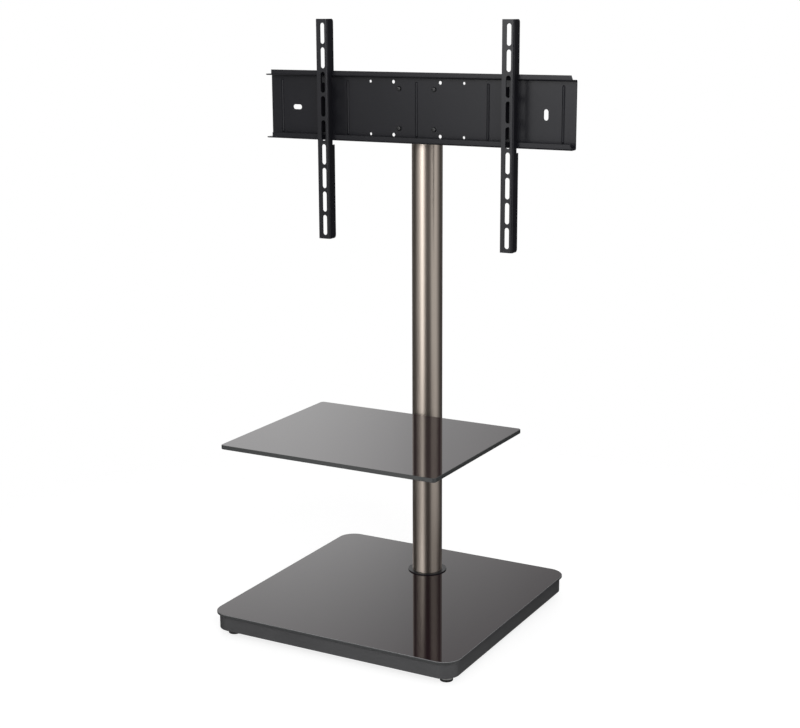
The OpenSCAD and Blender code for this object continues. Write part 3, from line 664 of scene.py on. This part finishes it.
def weldBead(work, w, start, end):
    start, end = Vector(start), Vector(end)
    along = end - start
    place = Matrix.Translation(start) @ along.to_track_quat("Z", "Y").to_matrix().to_4x4()
    perStep, thin = w["rowsPerStep"], w["endShare"]
    rows = max(w["leastRows"], round(along.length / w["step"] * perStep))
    profile = []
    for i in range(rows + 1):
        taper = min(1, thin + i / w["endRows"], thin + (rows - i) / w["endRows"])
        scale = w["scaleSwell"] * sin(tau * i / perStep + w["scalePhase"])
        wobble = w["wobble"] * sin(w["wobbleTurn"] * i)
        profile.append((w["size"] * taper * (1 + scale + wobble), along.length * i / rows))
    skin(work, rings(work, profile, w["turns"], place), False)


def placeShelfWelds(w, s):
    work = bmesh.new()
    (near, far), under = s["along"], shelfUnder - s["alongDrop"]
    low, high = (shelfUnder - drop for drop in s["plateDrops"])
    for side in (-1, 1):
        for face in (-1, 1):
            x = side * s["ribs"] + face * s["ribHalf"]
            weldBead(work, w, (x, near, under), (x, far, under))
            weldBead(work, w, (x, s["plateY"], low), (x, s["plateY"], high))
    newPiece("shelfWelds", work, finishes["weldCoat"], "shelf", "black_powder")


def placeHeadWelds(w, s):
    work = bmesh.new()
    (near, far), (low, high) = s["along"], s["rise"]
    for side in (-1, 1):
        x = side * s["ribs"]
        weldBead(work, w, (x, s["plateY"], low), (x, s["plateY"], high))
        weldBead(work, w, (x, near, s["floor"]), (x, far, s["floor"]))
    newPiece("headWelds", work, finishes["weldCoat"], "stand", "black_powder")


placeShelfWelds(welds, shelfSeams)
placeHeadWelds(welds, headSeams)
print("fasteners, feet, discs and welds made")

# levels round the pole, by degrees from the camera's side; low is at the horizon and below
studio = {
    "poleDirection": -62.3,  # azimuth from the pole to the camera, in degrees
    "plainLevel": 0.32,
    "gain": 2.5,  # the ramps hold their values divided by this
    "lowFront": [(-126, 0.04), (-98, 0.08), (-77, 0.22), (-58.7, 0.28), (-41.8, 0.40), (-25.8, 0.34),
                 (-10.3, 0.15), (5, 0.09), (20, 0.12), (36, 0.33), (52, 0.34), (70, 0.38), (90, 0.30),
                 (110, 0.03)],
    "highFront": [(-126, 0.05), (-98, 0.16), (-77, 1.30), (-58.7, 2.35), (-41.8, 1.20), (-25.8, 0.48),
                  (-10.3, 0.18), (5, 0.10), (20, 0.14), (36, 0.42), (52, 0.42), (70, 0.45), (90, 0.34),
                  (110, 0.03)],
    "behind": 135,  # past this the stops of the back are used
    "lowBack": [(-180, 0.04), (180, 0.04)],
    "highBack": [(-180, 0.97), (-178, 1.24), (-175, 1.48), (-165, 1.50), (-140, 1.1), (140, 0.55),
                 (165, 0.55), (175.2, 0.58), (176, 0.72), (178, 0.86), (180, 0.97)],
    "backdropRise": [(0.25, 0.90), (0.33, 1.0), (0.41, 0.68)],  # by height of the direction
    "frontRise": [(0.24, 1.0), (0.30, 0.85), (0.36, 0.35), (0.5, 0.35)],
    "sideRise": (0.0, 0.22),
    "ceiling": 0.6,
    "ceilingRise": (0.5, 0.8),
    "ground": 0.45,
    "groundFall": (-0.45, -0.65),
}


def makeWorld(s):
    world = bpy.data.worlds.new("studio")
    scene.world = world
    world.use_nodes = True
    tree = world.node_tree
    tree.nodes.clear()
    gain, behind = s["gain"], s["behind"]
    ray = addNode(tree, "LightPath").outputs
    direction = addNode(tree, "TexCoord").outputs["Generated"]
    turned = addNode(tree, "Mapping", {"vector_type": "POINT"}, Vector=direction,
                     Rotation=(0, 0, radians(-s["poleDirection"]))).outputs["Vector"]
    parts = addNode(tree, "SeparateXYZ", None, Vector=turned).outputs
    height = parts["Z"]
    angle = calc(tree, "ARCTAN2", parts["Y"], parts["X"])
    around = calc(tree, "MULTIPLY_ADD", angle, 1 / tau, 0.5)
    bands = []
    for name in ("low", "high"):
        back = s[name + "Back"]
        stops = [p for p in back if p[0] < -behind] + s[name + "Front"] + [p for p in back if p[0] > behind]
        bands.append(ramp(tree, around, [((a + 180) / 360, v / gain) for a, v in stops]))
    low, high = bands
    # the backdrop darkens towards its top, which the front of the base shows
    inFront = calc(tree, "GREATER_THAN", parts["X"], 0)
    shade = mixColours(tree, inFront, ramp(tree, height, s["backdropRise"]),
                       ramp(tree, height, s["frontRise"]))
    sides = mixColours(tree, rise(tree, height, *s["sideRise"]), low, dimmed(tree, high, shade))
    withTop = mixColours(tree, rise(tree, height, *s["ceilingRise"]), sides, grey(s["ceiling"] / gain))
    whole = mixColours(tree, rise(tree, height, *s["groundFall"]), withTop, grey(s["ground"] / gain))
    whole = addNode(tree, "VectorMath", {"operation": "SCALE"}, i0=whole, Scale=gain).outputs[0]
    shiny = calc(tree, "MAXIMUM", ray["Is Glossy Ray"], ray["Is Transmission Ray"])
    lit = mixColours(tree, shiny, grey(s["plainLevel"]), whole)
    seen = mixColours(tree, ray["Is Camera Ray"], lit, grey(1))
    background = addNode(tree, "Background", None, Color=seen, Strength=1.0)
    addNode(tree, "OutputWorld", None, Surface=background.outputs[0])


poleFoot = Vector((*fasteners["pole"], 0))
# turn is in degrees round the pole from the camera's side
softboxes = {
    "keySoftbox": {"turn": 6, "reach": 2.5, "height": 1.45, "size": (1.1, 1.3), "level": 9.0},
    "leftSoftbox": {"turn": -70, "reach": 2.4, "height": 1.0, "size": (1.4, 2.2), "level": 0.8},
    "backSoftbox": {"turn": 170, "reach": 2.4, "height": 1.2, "size": (1.6, 1.6), "level": 1.6},
    "topSoftbox": {"turn": -20, "reach": 0.5, "height": 3.2, "size": (1.8, 1.8), "level": 1.3},
}
aimHeight = 0.75  # a softbox above this looks down at it


def placeSoftboxes(boxes):
    for name, b in boxes.items():
        turn = radians(studio["poleDirection"] + b["turn"])
        data = bpy.data.lights.new(name, "AREA")
        data.shape = "RECTANGLE"
        data.size, data.size_y = b["size"]
        data.energy = b["level"] * pi * b["size"][0] * b["size"][1]
        lamp = addObject(name, data)
        lamp.visible_glossy = False  # the panels below are what the metal shows
        place = poleFoot + Vector((cos(turn), sin(turn), 0)) * b["reach"] + Vector((0, 0, b["height"]))
        target = poleFoot + Vector((0, 0, min(b["height"], aimHeight)))
        lamp.location = place
        lamp.rotation_euler = (target - place).to_track_quat("-Z", "Y").to_euler()


# soft-edged panels near the pole, seen only in reflections: stops go across, rise goes up
panels = {
    "keyPanel": {"turn": -42, "reach": 1.6, "low": -0.1, "high": 1.8, "wide": 2.6,
                 "stops": [(-1.2, 0), (-0.85, 0.03), (-0.6, 0.12), (-0.38, 0.45), (-0.1, 1.7), (0.2, 2.3),
                           (0.45, 1.2), (0.9, 0.1), (1.2, 0)],
                 "rise": [(-0.95, 0), (-0.8, 0.6), (-0.6, 0.9), (-0.42, 0.6), (-0.3, 0.35), (-0.2, 0.45),
                          (-0.08, 0.75), (0.05, 1.0), (0.28, 2.0), (0.65, 2.3), (0.95, 0)]},
    "fillPanel": {"turn": 50, "reach": 1.6, "low": -0.1, "high": 1.8, "wide": 2.4,
                  "stops": [(-1.1, 0), (-0.7, 0.15), (-0.4, 0.6), (0, 0.42), (0.5, 0.45), (0.9, 0.2),
                            (1.1, 0)],
                  "rise": [(-0.95, 0), (-0.53, 0.85), (0, 1.0), (0.53, 1.0), (0.95, 0)]},
}


def panelGlow(name, p, gain):
    mat, tree = bareMaterial(name)
    high, wide = p["high"] - p["low"], p["wide"]
    point = addNode(tree, "TexCoord").outputs["Object"]
    parts = addNode(tree, "SeparateXYZ", None, Vector=point).outputs
    across = rise(tree, parts["X"], -wide / 2, wide / 2, "LINEAR")
    upward = rise(tree, parts["Y"], -high / 2, high / 2, "LINEAR")
    level = ramp(tree, across, [(t / wide + 0.5, v / gain) for t, v in p["stops"]])
    shade = ramp(tree, upward, [(t / high + 0.5, v / gain) for t, v in p["rise"]])
    glow = addNode(tree, "Emission", None, Color=dimmed(tree, level, shade), Strength=gain * gain)
    clear = addNode(tree, "BsdfTransparent")
    both = addNode(tree, "AddShader", None, i0=glow.outputs[0], i1=clear.outputs[0])
    addNode(tree, "OutputMaterial", None, Surface=both.outputs[0])
    return mat


def placePanels(panels, gain):
    for name, p in panels.items():
        turn = radians(studio["poleDirection"] + p["turn"])
        outward, sideways = Vector((cos(turn), sin(turn), 0)), Vector((-sin(turn), cos(turn), 0))
        x, y = p["wide"] / 2, (p["high"] - p["low"]) / 2
        mesh = bpy.data.meshes.new(name)
        mesh.from_pydata([(-x, -y, 0), (x, -y, 0), (x, y, 0), (-x, y, 0)], [], [(0, 1, 2, 3)])
        mesh.materials.append(panelGlow(name, p, gain))
        panel = addObject(name, mesh)
        middle = poleFoot + outward * p["reach"] + Vector((0, 0, (p["low"] + p["high"]) / 2))
        facing = Matrix((sideways, Vector((0, 0, 1)), outward)).transposed().to_4x4()
        panel.matrix_world = Matrix.Translation(middle) @ facing
        panel.visible_camera = False
        panel.visible_diffuse = False
        panel.visible_shadow = False
        panel.visible_transmission = False


paleFloor = {
    "radius": 1.3, "sides": 96, "drop": 0.0002, "colour": (0.8, 0.8, 0.8, 1),
    "glow": 1.35, "mix": 0.6,  # added white for the camera only
    "fade": (0.55, 0.97),  # as shares of the radius
}


def makeFloor(f):
    mat, tree = bareMaterial("paleFloor")
    ray = addNode(tree, "LightPath").outputs
    point = addNode(tree, "TexCoord").outputs["Object"]
    matt = addNode(tree, "BsdfDiffuse", None, Color=f["colour"])
    glow = addNode(tree, "Emission", None, Color=grey(1), Strength=f["glow"])
    seen = calc(tree, "MULTIPLY", ray["Is Camera Ray"], f["mix"])
    body = addNode(tree, "MixShader", None, i0=seen, i1=matt.outputs[0], i2=glow.outputs[0])
    reach = addNode(tree, "VectorMath", {"operation": "LENGTH"}, i0=point).outputs["Value"]
    near, far = f["fade"]
    fade = rise(tree, reach, f["radius"] * near, f["radius"] * far)
    clear = addNode(tree, "BsdfTransparent")
    whole = addNode(tree, "MixShader", None, i0=fade, i1=body.outputs[0], i2=clear.outputs[0])
    addNode(tree, "OutputMaterial", None, Surface=whole.outputs[0])
    mesh = bpy.data.meshes.new("floor")
    work = bmesh.new()
    bmesh.ops.create_circle(work, cap_ends=True, segments=f["sides"], radius=f["radius"])
    work.to_mesh(mesh)
    work.free()
    mesh.materials.append(mat)
    floor = addObject("floor", mesh)
    floor.location.z = -f["drop"]
    floor.visible_glossy = False


makeWorld(studio)
placeSoftboxes(softboxes)
placePanels(panels, studio["gain"])
makeFloor(paleFloor)
scene.view_settings.view_transform = "Standard"
print("studio ready")
